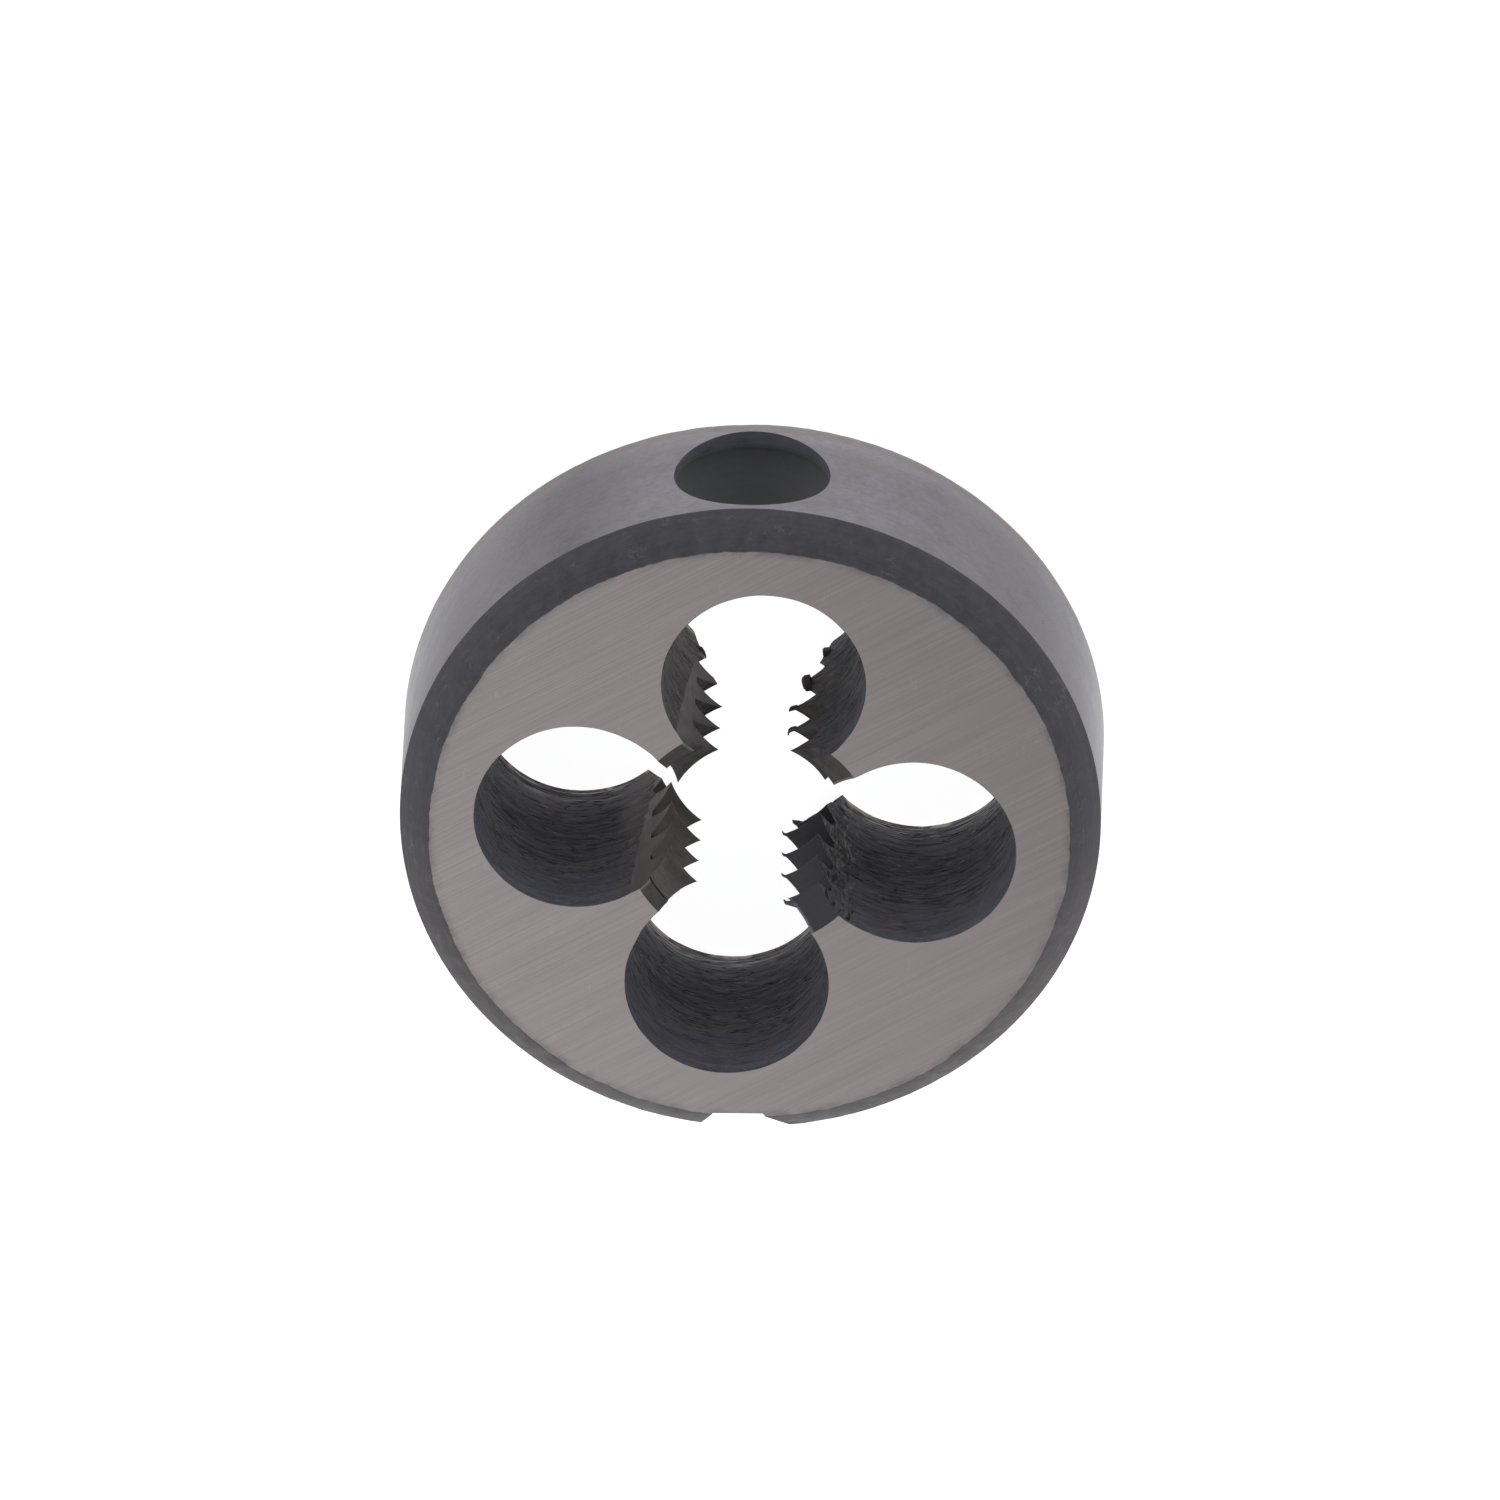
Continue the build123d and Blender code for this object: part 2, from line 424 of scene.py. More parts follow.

# The rim: ground round, then blued a little by the heat, in soft blotches, with a brown line near the start
# side. Painted shade darkens it in broad bands, and painted highlights lighten its middle, one end and the
# start side.
rim_wall = steel("rim_wall", (0.182, 0.175, 0.193), 0.3)
rim_wall.node_tree.nodes["Principled BSDF"].inputs["Specular Tint"].default_value = (0.72, 0.72, 0.73, 1)
place = millimetres(rim_wall)
blotches = effect(rim_wall, tool_marks, "Value", Place=place, Cells=(1.6, 1.6, 1.6), Sway=0.5)
grain = effect(rim_wall, tool_marks, "Value", Place=place, Cells=(5, 5, 7), Sway=0.2, Seed=6.0)
turning = effect(rim_wall, tool_marks, "Value", Place=place, Cells=(0.3, 0.3, 10), Sway=0.04, Seed=2.0)
brown = effect(rim_wall, tool_marks, "Value", Place=place, Cells=(0.7, 0.7, 1.2), Sway=0.4, Seed=12.0)
shade(rim_wall, blotches, 0.9, 1.1)
shade(rim_wall, grain, 0.91, 1.09)
shade(rim_wall, turning, 0.96, 1.04)
# Painted light: the rim is painted lighter in the middle, darker in broad bands on both sides and lighter at
# one end.
flank_of_rim = number(rim_wall.node_tree, "ABSOLUTE", along(rim_wall, place, (1, 0, 0)))
shade(rim_wall, span(rim_wall.node_tree, flank_of_rim, 3, 5.5), 1.12, 0.97)
across_rim = along(rim_wall, place, (1, 0, 0))
shade(rim_wall, band(rim_wall, across_rim, -5.3, 3.0), 1.0, 0.72)
shade(rim_wall, band(rim_wall, across_rim, -8.6, 1.4), 1.0, 0.84)
shade(rim_wall, band(rim_wall, across_rim, 7.9, 1.9), 1.0, 0.88)
shade(rim_wall, span(rim_wall.node_tree, across_rim, 9.2, 10), 1.0, 1.4)
lay(rim_wall, brown, (0.19, 0.172, 0.175), 0.45)
height = along(rim_wall, place, (0, 0, 1))
# Painted highlight: the rim is painted lighter near the start side.
shade(rim_wall, span(rim_wall.node_tree, height, 2.4, 0.9), 1.0, 1.3)
lay(rim_wall, both(rim_wall, band(rim_wall, height, 1.15, 0.3), blotches), (0.22, 0.17, 0.135), 0.8)
roughen(rim_wall, blotches, 0.26, 0.34)
emboss(rim_wall, grain, 0.000002)
emboss(rim_wall, turning, 0.000002)

for finish in (ground_face, dark_chamfer, rim_wall):
    die.data.materials.append(finish)
for face in die.data.polygons:
    if abs(face.normal.z) > facing_flat:
        face.material_index = 0
    elif abs(face.normal.z) > facing_wall:
        face.material_index = 1
    else:
        face.material_index = 2


def cut(body, cutter, operation="DIFFERENCE"):
    """Takes a cutter out of the body, whose new walls keep the cutter's finish."""
    modifier = body.modifiers.new("cut", "BOOLEAN")
    modifier.object = cutter
    modifier.operation = operation
    modifier.solver = "MANIFOLD"
    modifier.material_mode = "TRANSFER"
    bpy.ops.object.select_all(action="DESELECT")
    bpy.context.view_layer.objects.active = body
    bpy.ops.object.modifier_apply(modifier=modifier.name)
    bpy.data.objects.remove(cutter)


# The bore is turned a hair off the die's axis, with a short lead cone on the side that shows, where the work
# comes out, and a long one on the other, where the thread starts. The lead cones are smooth and dark.
bore_radius = 0.002385
bore_shift = -0.00009
exit_lead_radius = 0.00357
exit_lead_angle = radians(120)
start_lead_radius = 0.00345
start_lead_angle = radians(46)
exit_lead_depth = (exit_lead_radius - bore_radius) / tan(exit_lead_angle / 2)
start_lead_depth = (start_lead_radius - bore_radius) / tan(start_lead_angle / 2)
bore_segments = 144
overshoot = 0.0003


def lathe(name, steps, segments):
    """A closed turned shape round Z through the steps, each a radius and a height, from low to high."""
    (radius, height), rest = steps[0], steps[1:]
    bpy.ops.object.select_all(action="DESELECT")
    bpy.ops.mesh.primitive_circle_add(
        vertices=segments, radius=radius, location=(0, 0, height), fill_type="NGON"
    )
    shape = bpy.context.object
    shape.name = name
    bpy.ops.object.transform_apply(location=True, rotation=True, scale=True)
    bpy.ops.object.mode_set(mode="EDIT")
    for next_radius, next_height in rest:
        bpy.ops.mesh.extrude_region_move(TRANSFORM_OT_translate={"value": (0, 0, next_height - height)})
        growth = next_radius / radius
        bpy.ops.transform.resize(value=(growth, growth, 1))
        radius, height = next_radius, next_height
    bpy.ops.mesh.select_all(action="SELECT")
    bpy.ops.mesh.normals_make_consistent(inside=False)
    bpy.ops.object.mode_set(mode="OBJECT")
    return shape


def place_shape(shape, offset):
    """Moves a shape's mesh, so that its object stays at the origin."""
    shape.location = offset
    bpy.ops.object.select_all(action="DESELECT")
    shape.select_set(True)
    bpy.context.view_layer.objects.active = shape
    bpy.ops.object.transform_apply(location=True, rotation=True, scale=True)


bore = lathe(
    "bore",
    [
        (start_lead_radius + overshoot * tan(start_lead_angle / 2), -overshoot),
        (bore_radius, start_lead_depth),
        (bore_radius, die_thickness - exit_lead_depth),
        (exit_lead_radius + overshoot * tan(exit_lead_angle / 2), die_thickness + overshoot),
    ],
    bore_segments,
)
place_shape(bore, (0, bore_shift, 0))
lead_cone = steel("lead_cone", (0.1, 0.092, 0.088), 0.5, metallic=0.8)
place = millimetres(lead_cone)
mottle = effect(lead_cone, tool_marks, "Value", Place=place, Cells=(2.5, 2.5, 3), Sway=0.3)
turning = effect(lead_cone, tool_marks, "Value", Place=place, Cells=(0.5, 0.5, 14), Sway=0.05, Seed=7.0)
shade(lead_cone, mottle, 0.8, 1.2)
shade(lead_cone, turning, 0.92, 1.08)
roughen(lead_cone, mottle, 0.44, 0.56)
emboss(lead_cone, turning, 0.000003)
bore.data.materials.append(lead_cone)

# The thread is a right hand one of twenty turns an inch, with sharp crests. One groove section is carried up
# round the bore's axis, from below the die to above it.
thread_pitch = 0.00127
thread_root_radius = 0.00322
thread_flank_angle = radians(60)
thread_crest_flat = 0.00001
thread_start_height = 0.00036
thread_steps = 160
thread_turns = 9
groove_reach = thread_crest_flat / 2
groove_depth = thread_root_radius - bore_radius + groove_reach
groove_mouth = thread_pitch - thread_crest_flat + 2 * groove_reach * tan(thread_flank_angle / 2)
groove_floor = groove_mouth - 2 * groove_depth * tan(thread_flank_angle / 2)
groove_height = thread_start_height - 1.5 * thread_pitch
root_round = 0.00004

bpy.ops.object.select_all(action="DESELECT")
bpy.ops.mesh.primitive_plane_add(size=1, rotation=(pi / 2, 0, 0))
groove = bpy.context.object
groove.name = "thread_groove"
bpy.ops.object.transform_apply(location=True, rotation=True, scale=True)
for corner in groove.data.vertices:
    inner = corner.co.x < 0
    width = groove_mouth if inner else groove_floor
    corner.co.x = bore_radius - groove_reach if inner else thread_root_radius
    corner.co.z = groove_height + (width / 2 if corner.co.z > 0 else -width / 2)
bpy.ops.object.mode_set(mode="EDIT")
bpy.ops.mesh.select_mode(type="VERT")
groove_shell = bmesh.from_edit_mesh(groove.data)
for corner in groove_shell.verts:
    corner.select_set(corner.co.x > thread_root_radius - root_round)
bmesh.update_edit_mesh(groove.data)
bpy.ops.mesh.bevel(offset=root_round, segments=3, affect="VERTICES")
bpy.ops.mesh.select_all(action="SELECT")
bpy.ops.mesh.delete(type="ONLY_FACE")
bpy.ops.object.mode_set(mode="OBJECT")
screw = groove.modifiers.new("screw", "SCREW")
screw.angle = 2 * pi
screw.screw_offset = thread_pitch
screw.iterations = thread_turns
screw.steps = thread_steps
screw.render_steps = thread_steps
bpy.ops.object.modifier_apply(modifier=screw.name)
bpy.ops.object.mode_set(mode="EDIT")
bpy.ops.mesh.select_all(action="SELECT")
bpy.ops.mesh.fill_holes(sides=0)
bpy.ops.mesh.select_all(action="SELECT")
bpy.ops.mesh.normals_make_consistent(inside=False)
bpy.ops.object.mode_set(mode="OBJECT")
place_shape(groove, (0, bore_shift, 0))
thread_flank = steel("thread_flank", (0.15, 0.133, 0.127), 0.5)
place = millimetres(thread_flank)
mottle = effect(thread_flank, tool_marks, "Value", Place=place, Cells=(2.5, 2.5, 3), Sway=0.3, Seed=5.0)
scratches = effect(thread_flank, tool_marks, "Value", Place=place, Cells=(0.9, 0.9, 12), Sway=0.1, Seed=7.0)
shade(thread_flank, mottle, 0.75, 1.25)
shade(thread_flank, scratches, 0.88, 1.12)
tree = thread_flank.node_tree
# Painted shade: the flanks are painted darker towards the crests and lighter towards the roots.
from_bore = axis_distance(thread_flank, vector(tree, "SUBTRACT", place, (0, bore_shift * 1000, 0)))
shade(thread_flank, span(tree, from_bore, 2.4, 3.2), 0.78, 1.1)
grey_side = span(tree, along(thread_flank, place, (0.7, -0.7, 0)), 0.4, 2.4)
low_down = span(tree, along(thread_flank, place, (0, 0, 1)), 5, 1)
lay(thread_flank, grey_side, (0.085, 0.085, 0.092), 0.75)
# Painted shade: on the grey side the flanks are painted darker deeper in the bore.
shade(thread_flank, both(thread_flank, grey_side, low_down), 1.0, 0.72)
roughen(thread_flank, mottle, 0.44, 0.56)
emboss(thread_flank, scratches, 0.000004)
groove.data.materials.append(thread_flank)

# The crests are what the bore's straight wall leaves between the grooves, and look like the flanks.
bore.data.materials.append(thread_flank)
for face in bore.data.polygons:
    if abs(face.normal.z) < facing_wall:
        face.material_index = 1
cut(die, bore)
cut(die, groove)

# Four chip holes are drilled right through and break into the thread, which leaves four lands with teeth. A
# blunt drill tore their walls into irregular rings, and they keep the dark skin of the hardening furnace.
chip_radius = 0.0029
chip_circle_radius = 0.00485
chip_circle_shift = -0.00013
chip_count = 4
chip_turn = radians(90 - 6.2)
chip_segments = 170
chip_rings = 104
lip_break = 0.00002
lip_height = 1.1 * lip_break
lip_torn = 0.00035
land_back_swing = radians(45)
land_back_spread = radians(20)
drill_strays = (0.0, 0.00008, 0.00017, 0.00013)
stray_middle = radians(32)
stray_spread = radians(36)


def torn(place, seed, side):
    """How deep the drill tore a wall at a place, in metres. Side is 1 beside a land's back, 0 elsewhere."""
    spot = place * 1000
    sway = noise.noise_vector(spot * 0.9 + Vector((seed, 0, 0))) * 0.12
    spot = spot + sway + Vector((0, 0, 5 * seed))
    chatter = noise.noise(Vector((spot.x * 0.6, spot.y * 0.6, spot.z * 3.0)))
    fine = noise.noise(Vector((spot.x * 1.8, spot.y * 1.8, spot.z * 6.1)))
    line = noise.noise(Vector((spot.x * 1.0, spot.y * 1.0, spot.z * 3.6)))
    patch = noise.noise(Vector((spot.x * 0.8, spot.y * 0.8, spot.z * 1.5)))
    lumps = noise.noise(Vector((spot.x * 2.6, spot.y * 2.6, spot.z * 2.6)))
    tear = max(0, 1 - abs(line) / 0.2) * max(0, patch + 0.15)
    depth = min(1, max(0.25, (die_thickness - place.z) / die_thickness * 1.6))
    return 0.000007 * chatter + 0.000006 * fine + 0.000035 * depth * tear + 0.00003 * side * lumps


def strayed(place, swing, stray):
    """How far the drill strayed towards a land's back at a place, in metres, most near the exit face."""
    beside = max(0, 1 - abs(swing - stray_middle) / stray_spread)
    return stray * beside * min(1, max(0, place.z / die_thickness))


def torn_lip(place, seed):
    """How far above the start face the drill broke a hole's lip away, in metres."""
    spot = place * 1000
    sweep = noise.noise(spot * 0.35 + Vector((4.3 * seed, 0, 0)))
    nicks = noise.noise(spot * 3 + Vector((2.9 * seed, 0, 0)))
    return lip_torn * min(1, max(0.05, 0.55 + 0.9 * sweep + 0.25 * nicks))


# Places round the chip holes, in millimetres: how far from the nearest ground strip, and how far along the
# hole's wall from the line to the bore, which is less than 0 beside a land's back.
rake_radius = 0.0024
rake_turn = radians(-19.8)
rake_offset_low = 0.000506
rake_offset_high = 0.000624
rake_middle = (rake_offset_low + rake_offset_high) * 500
chip_holes, given, result = new_group("chip_holes", {"Place": (0, 0, 0)}, ["Strip", "Arc"])
pattern = vector(chip_holes, "SUBTRACT", given["Place"], (chip_circle_shift * 1000, 0, die_thickness * 500))
turned = {"Vector": pattern, "Axis": (0, 0, 1), "Angle": -chip_turn}
pattern = node(chip_holes, "ShaderNodeVectorRotate", turned, rotation_type="AXIS_ANGLE").outputs["Vector"]
spread = node(chip_holes, "ShaderNodeSeparateXYZ", {0: pattern}).outputs
folded = node(chip_holes, "ShaderNodeSeparateXYZ", {0: vector(chip_holes, "ABSOLUTE", pattern)}).outputs
inwards = number(chip_holes, "MAXIMUM", folded["X"], folded["Y"])
inwards = number(chip_holes, "SUBTRACT", chip_circle_radius * 1000, inwards)
across = number(chip_holes, "MINIMUM", folded["X"], folded["Y"])
corner = number(chip_holes, "MULTIPLY", spread["X"], spread["Y"])
hand = number(chip_holes, "MULTIPLY", corner, number(chip_holes, "SUBTRACT", folded["X"], folded["Y"]))
across = number(chip_holes, "MULTIPLY", across, number(chip_holes, "SIGN", hand))
arc = number(chip_holes, "MULTIPLY", number(chip_holes, "ARCTAN2", across, inwards), chip_radius * 1000)
off_wheel = (
    number(chip_holes, "SUBTRACT", inwards, rake_middle * cos(rake_turn)),
    number(chip_holes, "ADD", across, rake_middle * sin(rake_turn)),
)
squares = [number(chip_holes, "MULTIPLY", side, side) for side in off_wheel]
from_wheel = number(chip_holes, "SQRT", number(chip_holes, "ADD", *squares))
chip_holes.links.new(number(chip_holes, "SUBTRACT", from_wheel, rake_radius * 1000), result["Strip"])
chip_holes.links.new(arc, result["Arc"])

drilled_wall = steel("drilled_wall", (0.086, 0.086, 0.107), 0.7, metallic=0.0, gloss=0.1)
tree = drilled_wall.node_tree
place = millimetres(drilled_wall)
rings = effect(drilled_wall, tool_marks, "Value", Place=place, Cells=(0.5, 0.5, 4.5), Sway=0.12)
mottle = effect(drilled_wall, tool_marks, "Value", Place=place, Cells=(2.2, 2.2, 4), Sway=0.15, Seed=3.0)
cracks = effect(
    drilled_wall, tears, "Mask", Place=place, Cells=(0.8, 0.8, 4), Sway=0.16, Seed=1.0,
    Width=0.035, Cover=0.52,
)
gashes = effect(
    drilled_wall, tears, "Mask", Place=place, Cells=(0.9, 0.9, 2.6), Sway=0.25, Seed=4.0,
    Width=0.04, Cover=0.44,
)
glints = effect(
    drilled_wall, tears, "Mask", Place=place, Cells=(1.2, 1.2, 6), Sway=0.15, Seed=6.0,
    Width=0.02, Cover=0.42,
)
arcs = effect(
    drilled_wall, tears, "Mask", Place=place, Cells=(0.3, 0.3, 3.6), Sway=0.2, Seed=24.0,
    Width=0.045, Cover=0.6,
)
height = along(drilled_wall, place, (0, 0, 1))
patches = effect(drilled_wall, tool_marks, "Value", Place=place, Cells=(1.1, 1.1, 1.6), Sway=0.5, Seed=17.0)
shade(drilled_wall, rings, 0.76, 1.24)
shade(drilled_wall, mottle, 0.72, 1.28)
lay(drilled_wall, span(tree, patches, 0.6, 0.9), (0.1, 0.08, 0.086), 0.5)
# Painted light and shade: the walls are painted lighter near the exit face and darker a third of the way up.
shade(drilled_wall, span(tree, height, 5.3, 6.9), 0.92, 1.3)
shade(drilled_wall, band(drilled_wall, height, 2.6, 2.4), 1.0, 0.36)
torn_part = span(tree, height, 5.9, 4.4)
lay(drilled_wall, glints, (0.24, 0.23, 0.23), 0.5)
# The cracks, arcs and gashes are painted near-black: partly their own dark colour, partly painted shade inside
# them.
lay(drilled_wall, both(drilled_wall, cracks, torn_part), (0.012, 0.012, 0.014), 0.9)
lay(drilled_wall, both(drilled_wall, arcs, torn_part), (0.008, 0.008, 0.01), 0.95)
lay(drilled_wall, both(drilled_wall, gashes, torn_part), (0.008, 0.008, 0.01), 0.9)

# Painted highlights: pale arcs run beside the lip at the start face.
painted_lip_highlights = effect(
    drilled_wall, tears, "Mask", Place=place, Cells=(0.3, 0.3, 8), Sway=0.12, Seed=31.0, Width=0.06,
    Cover=0.62,
)
lay(drilled_wall, both(drilled_wall, painted_lip_highlights, band(drilled_wall, height, 0.35, 0.7)), (0.42, 0.4, 0.37), 0.75)

# Beside the ground strip the wall is as brown as the strip.
from_strip = effect(drilled_wall, chip_holes, "Strip", Place=place)
dimple_side = span(tree, along(drilled_wall, place, (0, 1, 0)), 1.5, 2.5)
lay(drilled_wall, span(tree, from_strip, 0.14, 0.02), (0.118, 0.1, 0.1), 0.7)
wide_strip = both(drilled_wall, span(tree, from_strip, 0.5, 0.03), dimple_side)
lay(drilled_wall, wide_strip, (0.14, 0.12, 0.119), 0.7)
# Painted shade: the walls of the hole on the dimple's side are painted darker.
shade(drilled_wall, dimple_side, 1.0, 0.7)

# Beside a land's back the drill smeared the wall in pale streaks, with slots between them painted near-black:
# partly their own dark colour, partly painted shade.
arc = effect(drilled_wall, chip_holes, "Arc", Place=place)
land_back = -chip_radius * 1000 * land_back_swing
beside_back = number(tree, "ABSOLUTE", number(tree, "SUBTRACT", arc, land_back))
beside_back = number(tree, "SUBTRACT", 1.0, span(tree, beside_back, 0.5, 1.1))
beside_back = both(drilled_wall, beside_back, span(tree, along(drilled_wall, place, (0, 1, 0)), 1, -0.5))
smears = effect(drilled_wall, tool_marks, "Value", Place=place, Cells=(6, 6, 1.1), Sway=0.5, Seed=8.0)
lay(drilled_wall, both(drilled_wall, span(tree, smears, 0.5, 0.85), beside_back), (0.18, 0.172, 0.155), 0.75)
slots = effect(drilled_wall, tool_marks, "Value", Place=place, Cells=(5, 5, 1.1), Sway=0.5, Seed=21.0)
lay(drilled_wall, both(drilled_wall, span(tree, slots, 0.6, 0.8), beside_back), (0.006, 0.006, 0.008), 0.9)

# The burr at the lower lips is brown, with a painted highlight in a few places.
lip_ragged_and_highlight = effect(drilled_wall, tool_marks, "Value", Place=place, Cells=(0.8, 0.8, 0.4), Sway=0.4, Seed=2.0)
brown_lip = number(tree, "SUBTRACT", height, number(tree, "MULTIPLY", lip_ragged_and_highlight, 0.3))
brown_lip = number(tree, "SUBTRACT", 1.0, span(tree, brown_lip, -0.1, 0.06))
lay(drilled_wall, brown_lip, (0.13, 0.075, 0.052), 0.85)
lay(drilled_wall, both(drilled_wall, brown_lip, span(tree, lip_ragged_and_highlight, 0.52, 0.72)), (0.4, 0.36, 0.33), 0.85)
roughen(drilled_wall, mottle, 0.5, 0.7)
emboss(drilled_wall, mottle, 0.000008)
emboss(drilled_wall, cracks, -0.000014)
emboss(drilled_wall, gashes, -0.00003)

for number_of_hole in range(chip_count):
    turn = chip_turn + number_of_hole * 2 * pi / chip_count
    centre = Vector((chip_circle_shift + chip_circle_radius * cos(turn), chip_circle_radius * sin(turn), 0))
    inward = Vector((cos(turn + pi), sin(turn + pi), 0))
    bpy.ops.object.select_all(action="DESELECT")
    bpy.ops.mesh.primitive_cylinder_add(
        vertices=chip_segments,
        radius=chip_radius,
        depth=die_thickness - 2 * lip_break,
        location=(*centre.xy, die_thickness / 2),
    )
    drill = bpy.context.object
    bpy.ops.object.transform_apply(location=True, rotation=True, scale=True)
    bpy.ops.object.mode_set(mode="EDIT")
    bpy.ops.mesh.select_mode(type="EDGE")
    select_edges(drill, lambda start, end: abs(start.z - end.z) > chip_radius)
    bpy.ops.mesh.subdivide_edgering(number_cuts=chip_rings, interpolation="LINEAR", smoothness=0)
    bpy.ops.mesh.select_mode(type="FACE")
    for side in (1, -1):
        select_faces(drill, lambda centre, normal: normal.z * side > facing_flat)
        bpy.ops.mesh.extrude_region_move(TRANSFORM_OT_translate={"value": (0, 0, side * lip_height)})
        lip_share = 1 + lip_break / chip_radius
        bpy.ops.transform.resize(value=(lip_share, lip_share, 1))
        bpy.ops.mesh.extrude_region_move(TRANSFORM_OT_translate={"value": (0, 0, side * overshoot)})
    bpy.ops.object.mode_set(mode="OBJECT")
    for vertex in drill.data.vertices:
        outward = Vector((vertex.co.x - centre.x, vertex.co.y - centre.y, 0))
        if outward.length > chip_radius / 2:
            outward.normalize()
            swing = atan2(inward.cross(outward).z, inward.dot(outward))
            side = max(0, 1 - abs(swing - land_back_swing) / land_back_spread)
            if abs(vertex.co.z - lip_break) < lip_break / 2:
                vertex.co.z += torn_lip(vertex.co, number_of_hole)
            depth = torn(vertex.co, number_of_hole, side)
            depth += strayed(vertex.co, swing, drill_strays[number_of_hole])
            vertex.co += outward * depth
    drill.data.materials.append(drilled_wall)
    cut(die, drill)

# The teeth are sharpened from the chip holes: a small wheel, leaning a little, grinds each land's cutting
# side smooth, most of it near the side that shows. The ground strip is a plain brown-grey.
rake_segments = 160
rake_ground = steel("rake_ground", (0.078, 0.062, 0.062), 0.58, metallic=0.4, gloss=0.25)
place = millimetres(rake_ground)
strokes = effect(rake_ground, tool_marks, "Value", Place=place, Cells=(5, 5, 0.6), Sway=0.1)
mottle = effect(rake_ground, tool_marks, "Value", Place=place, Cells=(2, 2, 2), Sway=0.3, Seed=3.0)
deep = span(rake_ground.node_tree, along(rake_ground, place, (0, 0, 1)), 6.4, 3.6)
shade(rake_ground, strokes, 0.88, 1.12)
shade(rake_ground, mottle, 0.62, 1.3)
# Painted shade: the strip is painted darker deeper in the hole, and darker in the hole on the dimple's side.
shade(rake_ground, deep, 1.1, 0.75)
dimple_side = span(rake_ground.node_tree, along(rake_ground, place, (0, 1, 0)), 1.5, 2.5)
shade(rake_ground, dimple_side, 1.0, 0.74)
roughen(rake_ground, mottle, 0.44, 0.58)
emboss(rake_ground, strokes, 0.000003)

# The lead cones are greyer on one side. Where a ground strip meets a cone, a painted highlight lightens the
# cone's edge.
place = millimetres(lead_cone)
grey_side = span(lead_cone.node_tree, along(lead_cone, place, (0.7, -0.7, 0)), 0.4, 2.4)
lay(lead_cone, grey_side, (0.078, 0.077, 0.083), 0.85)
painted_edge_highlight = span(lead_cone.node_tree, effect(lead_cone, chip_holes, "Strip", Place=place), 0.16, 0.06)
lay(lead_cone, painted_edge_highlight, (0.34, 0.31, 0.29), 0.7)

for number_of_hole in range(chip_count):
    turn = chip_turn + number_of_hole * 2 * pi / chip_count
    centre = Vector((chip_circle_shift + chip_circle_radius * cos(turn), chip_circle_radius * sin(turn), 0))
    inward = Vector((cos(turn + pi + rake_turn), sin(turn + pi + rake_turn), 0))
    lean = atan2(rake_offset_high - rake_offset_low, die_thickness)
    bpy.ops.object.select_all(action="DESELECT")
    bpy.ops.mesh.primitive_cylinder_add(
        vertices=rake_segments, radius=rake_radius, depth=die_thickness + 4 * overshoot, location=(0, 0, 0)
    )
    wheel = bpy.context.object
    wheel.rotation_mode = "QUATERNION"
    wheel.rotation_quaternion = Quaternion(Vector((0, 0, 1)).cross(inward), lean)
    middle = centre + inward * (rake_offset_low + rake_offset_high) / 2
    place_shape(wheel, (middle.x, middle.y, die_thickness / 2))
    wheel.data.materials.append(rake_ground)
    cut(die, wheel)

# Burrs hang on some of the teeth, where chips were torn off them: thin barbs, a hook and two clots of dark
# steel. Each has its swing about the bore and turn of the thread, how far it reaches inwards, round and up,
# in millimetres, and how thick it is at the crest and at its end.
burr_sides = 8
burr_root = 0.00012
burrs = (
    (-63.5, 1, 0.17, -0.11, 0.00, 0.20, 0.04),
    (-68.3, 2, 0.11, -0.01, 0.00, 0.08, 0.03),
    (-67.7, 3, 0.08, -0.02, -0.01, 0.08, 0.03),
    (-67.1, 4, 0.09, -0.03, 0.00, 0.08, 0.04),
    (-63.4, 5, 0.16, -0.19, -0.10, 0.18, 0.05),
    (51.4, 0, 0.03, 0.05, -0.04, 0.36, 0.20),
    (56.4, 1, 0.06, 0.08, -0.08, 0.50, 0.16),
    (61.9, 2, 0.10, 0.04, 0.02, 0.15, 0.07),
    (61.9, 3, 0.12, 0.03, 0.14, 0.15, 0.10),
    (119.0, 0, 0.24, -0.02, 0.12, 0.17, 0.10),
)


def crest(swing, turn):
    """The place on a crest of the thread at a swing about the bore and a turn of the thread."""
    height = thread_start_height + thread_pitch * (swing / (2 * pi) + turn)
    start_cone = start_lead_radius - height * tan(start_lead_angle / 2)
    exit_cone = exit_lead_radius - (die_thickness - height) * tan(exit_lead_angle / 2)
    radius = max(bore_radius, start_cone, exit_cone)
    return Vector((radius * cos(swing), bore_shift + radius * sin(swing), height))


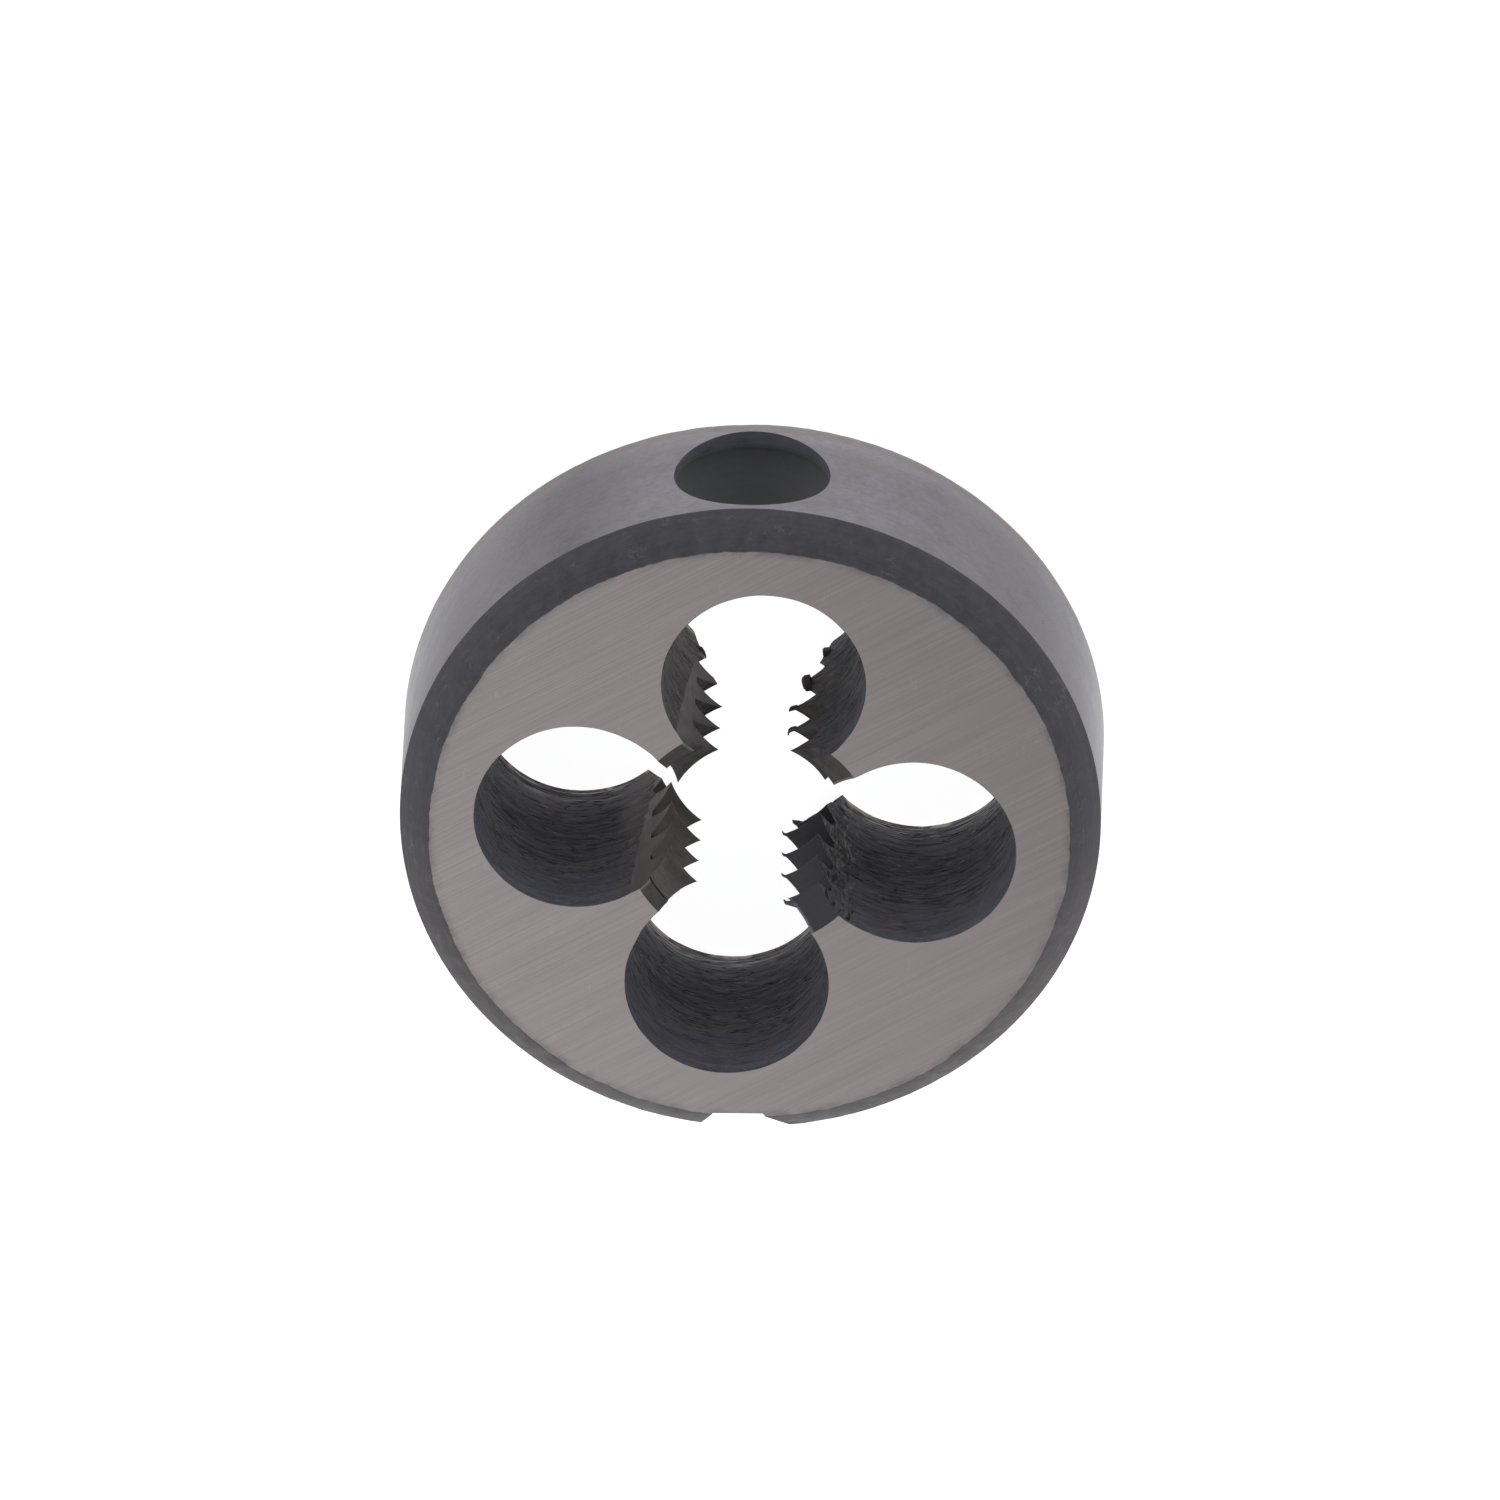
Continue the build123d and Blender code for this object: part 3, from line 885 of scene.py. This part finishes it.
for swing, turn, inwards, round_about, upwards, thick, thin in burrs:
    swing = radians(swing)
    towards_axis = Vector((-cos(swing), -sin(swing), 0))
    around = Vector((-sin(swing), cos(swing), 0))
    foot = crest(swing, turn)
    land_side = 1 if round_about < 0 else -1
    root = foot - towards_axis * burr_root + around * land_side * burr_root
    end = foot + (towards_axis * inwards + around * round_about + Vector((0, 0, upwards))) / 1000
    knee = foot + (towards_axis * inwards * 0.6 + around * round_about * 0.8) / 1000
    path = ((root, thick), (foot, thick), (knee, (thick + thin) / 2), (end, thin))
    facing = (foot - root).to_track_quat("Z", "Y").to_euler()
    bpy.ops.object.select_all(action="DESELECT")
    bpy.ops.mesh.primitive_circle_add(
        vertices=burr_sides, radius=thick / 2000, location=root, rotation=facing, fill_type="NGON"
    )
    burr = bpy.context.object
    bpy.ops.object.transform_apply(location=True, rotation=True, scale=True)
    bpy.ops.object.mode_set(mode="EDIT")
    for (before, width), (after, next_width) in zip(path, path[1:]):
        bpy.ops.mesh.extrude_region_move(TRANSFORM_OT_translate={"value": after - before})
        growth = next_width / width
        bpy.ops.transform.resize(value=(growth, growth, growth))
    bpy.ops.mesh.select_all(action="SELECT")
    bpy.ops.mesh.normals_make_consistent(inside=False)
    bpy.ops.object.mode_set(mode="OBJECT")
    burr.data.materials.append(drilled_wall)
    cut(die, burr, "UNION")

# The set screw's seat is drilled into the rim a little way past the drill's point, at the middle of its
# height.
dimple_radius = 0.00223
dimple_wall_depth = 0.00045
dimple_point_angle = radians(118)
dimple_height = 0.00355
dimple_point_length = dimple_radius / tan(dimple_point_angle / 2)
dimple_floor = die_radius - dimple_wall_depth
dimple_tip = 0.01
dimple_segments = 128
dimple = lathe(
    "dimple",
    [
        (dimple_radius * dimple_tip, dimple_floor - dimple_point_length * (1 - dimple_tip)),
        (dimple_radius, dimple_floor),
        (dimple_radius, die_radius + overshoot),
    ],
    dimple_segments,
)
dimple.rotation_euler.x = -pi / 2
place_shape(dimple, (0, 0, dimple_height))
drilled_seat = steel("drilled_seat", (0.048, 0.048, 0.055), 0.6, metallic=0.0, gloss=0.25)
place = millimetres(drilled_seat)
mottle = effect(drilled_seat, tool_marks, "Value", Place=place, Cells=(2, 2, 2), Sway=0.3)
turning = effect(drilled_seat, tool_marks, "Value", Place=place, Cells=(0.8, 9, 0.8), Sway=0.05, Seed=2.0)
shade(drilled_seat, mottle, 0.88, 1.12)
shade(drilled_seat, turning, 0.94, 1.06)
# Painted light and shade: the seat's straight wall is painted much lighter and its cone darker.
seat_wall = span(drilled_seat.node_tree, along(drilled_seat, place, (0, 1, 0)), 9.5, 9.6)
shade(drilled_seat, seat_wall, 0.74, 2.9)
top_line = span(drilled_seat.node_tree, along(drilled_seat, place, (0, 0, 1)), 5.5, 5.75)
lay(drilled_seat, top_line, (0.03, 0.022, 0.018), 0.9)
roughen(drilled_seat, mottle, 0.52, 0.62)
emboss(drilled_seat, turning, 0.000003)
dimple.data.materials.append(drilled_seat)
cut(die, dimple)

# The notch opposite the dimple is milled through the rim, where the die may be split to adjust it. Its flanks
# lean unequally, and the cutter left its walls lighter than the chamfers.
notch_floor_width = 0.00142
notch_depth = 0.00095
notch_shift = -0.00034
notch_left_lean = radians(23)
notch_right_lean = radians(41)
notch_reach = 2 * notch_depth
notch_left_spread = notch_reach * tan(notch_left_lean)
notch_right_spread = notch_reach * tan(notch_right_lean)
bpy.ops.object.select_all(action="DESELECT")
bpy.ops.mesh.primitive_cube_add(
    size=1,
    location=(notch_shift, notch_depth - die_radius - notch_reach / 2, die_thickness / 2),
    scale=(notch_floor_width, notch_reach, die_thickness + 2 * overshoot),
)
notch = bpy.context.object
bpy.ops.object.transform_apply(location=True, rotation=True, scale=True)
for corner in notch.data.vertices:
    if corner.co.y < -die_radius:
        corner.co.x += -notch_left_spread if corner.co.x < notch_shift else notch_right_spread
milled_notch = steel("milled_notch", (0.12, 0.12, 0.12), 0.5)
place = millimetres(milled_notch)
mottle = effect(milled_notch, tool_marks, "Value", Place=place, Cells=(3, 3, 3), Sway=0.3)
milling = effect(milled_notch, tool_marks, "Value", Place=place, Cells=(9, 9, 0.5), Sway=0.05, Seed=2.0)
shade(milled_notch, mottle, 0.8, 1.2)
shade(milled_notch, milling, 0.9, 1.1)
roughen(milled_notch, mottle, 0.42, 0.55)
emboss(milled_notch, milling, 0.000004)
notch.data.materials.append(milled_notch)
cut(die, notch)

# The die is done when its edges are stoned. Its flat faces meet their edges sharply, and its turned walls are
# smooth.
smooth_below = radians(35)
facing_true = 0.999
bpy.ops.object.select_all(action="DESELECT")
die.select_set(True)
bpy.context.view_layer.objects.active = die
bpy.ops.object.shade_smooth_by_angle(angle=smooth_below)
bpy.ops.object.mode_set(mode="EDIT")
bpy.ops.mesh.select_mode(type="FACE")
select_faces(die, lambda centre, normal: abs(normal.z) > facing_true)
bpy.ops.mesh.region_to_loop()
bpy.ops.mesh.mark_sharp()
bpy.ops.object.mode_set(mode="OBJECT")
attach(die, "root")
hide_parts("threading_die")
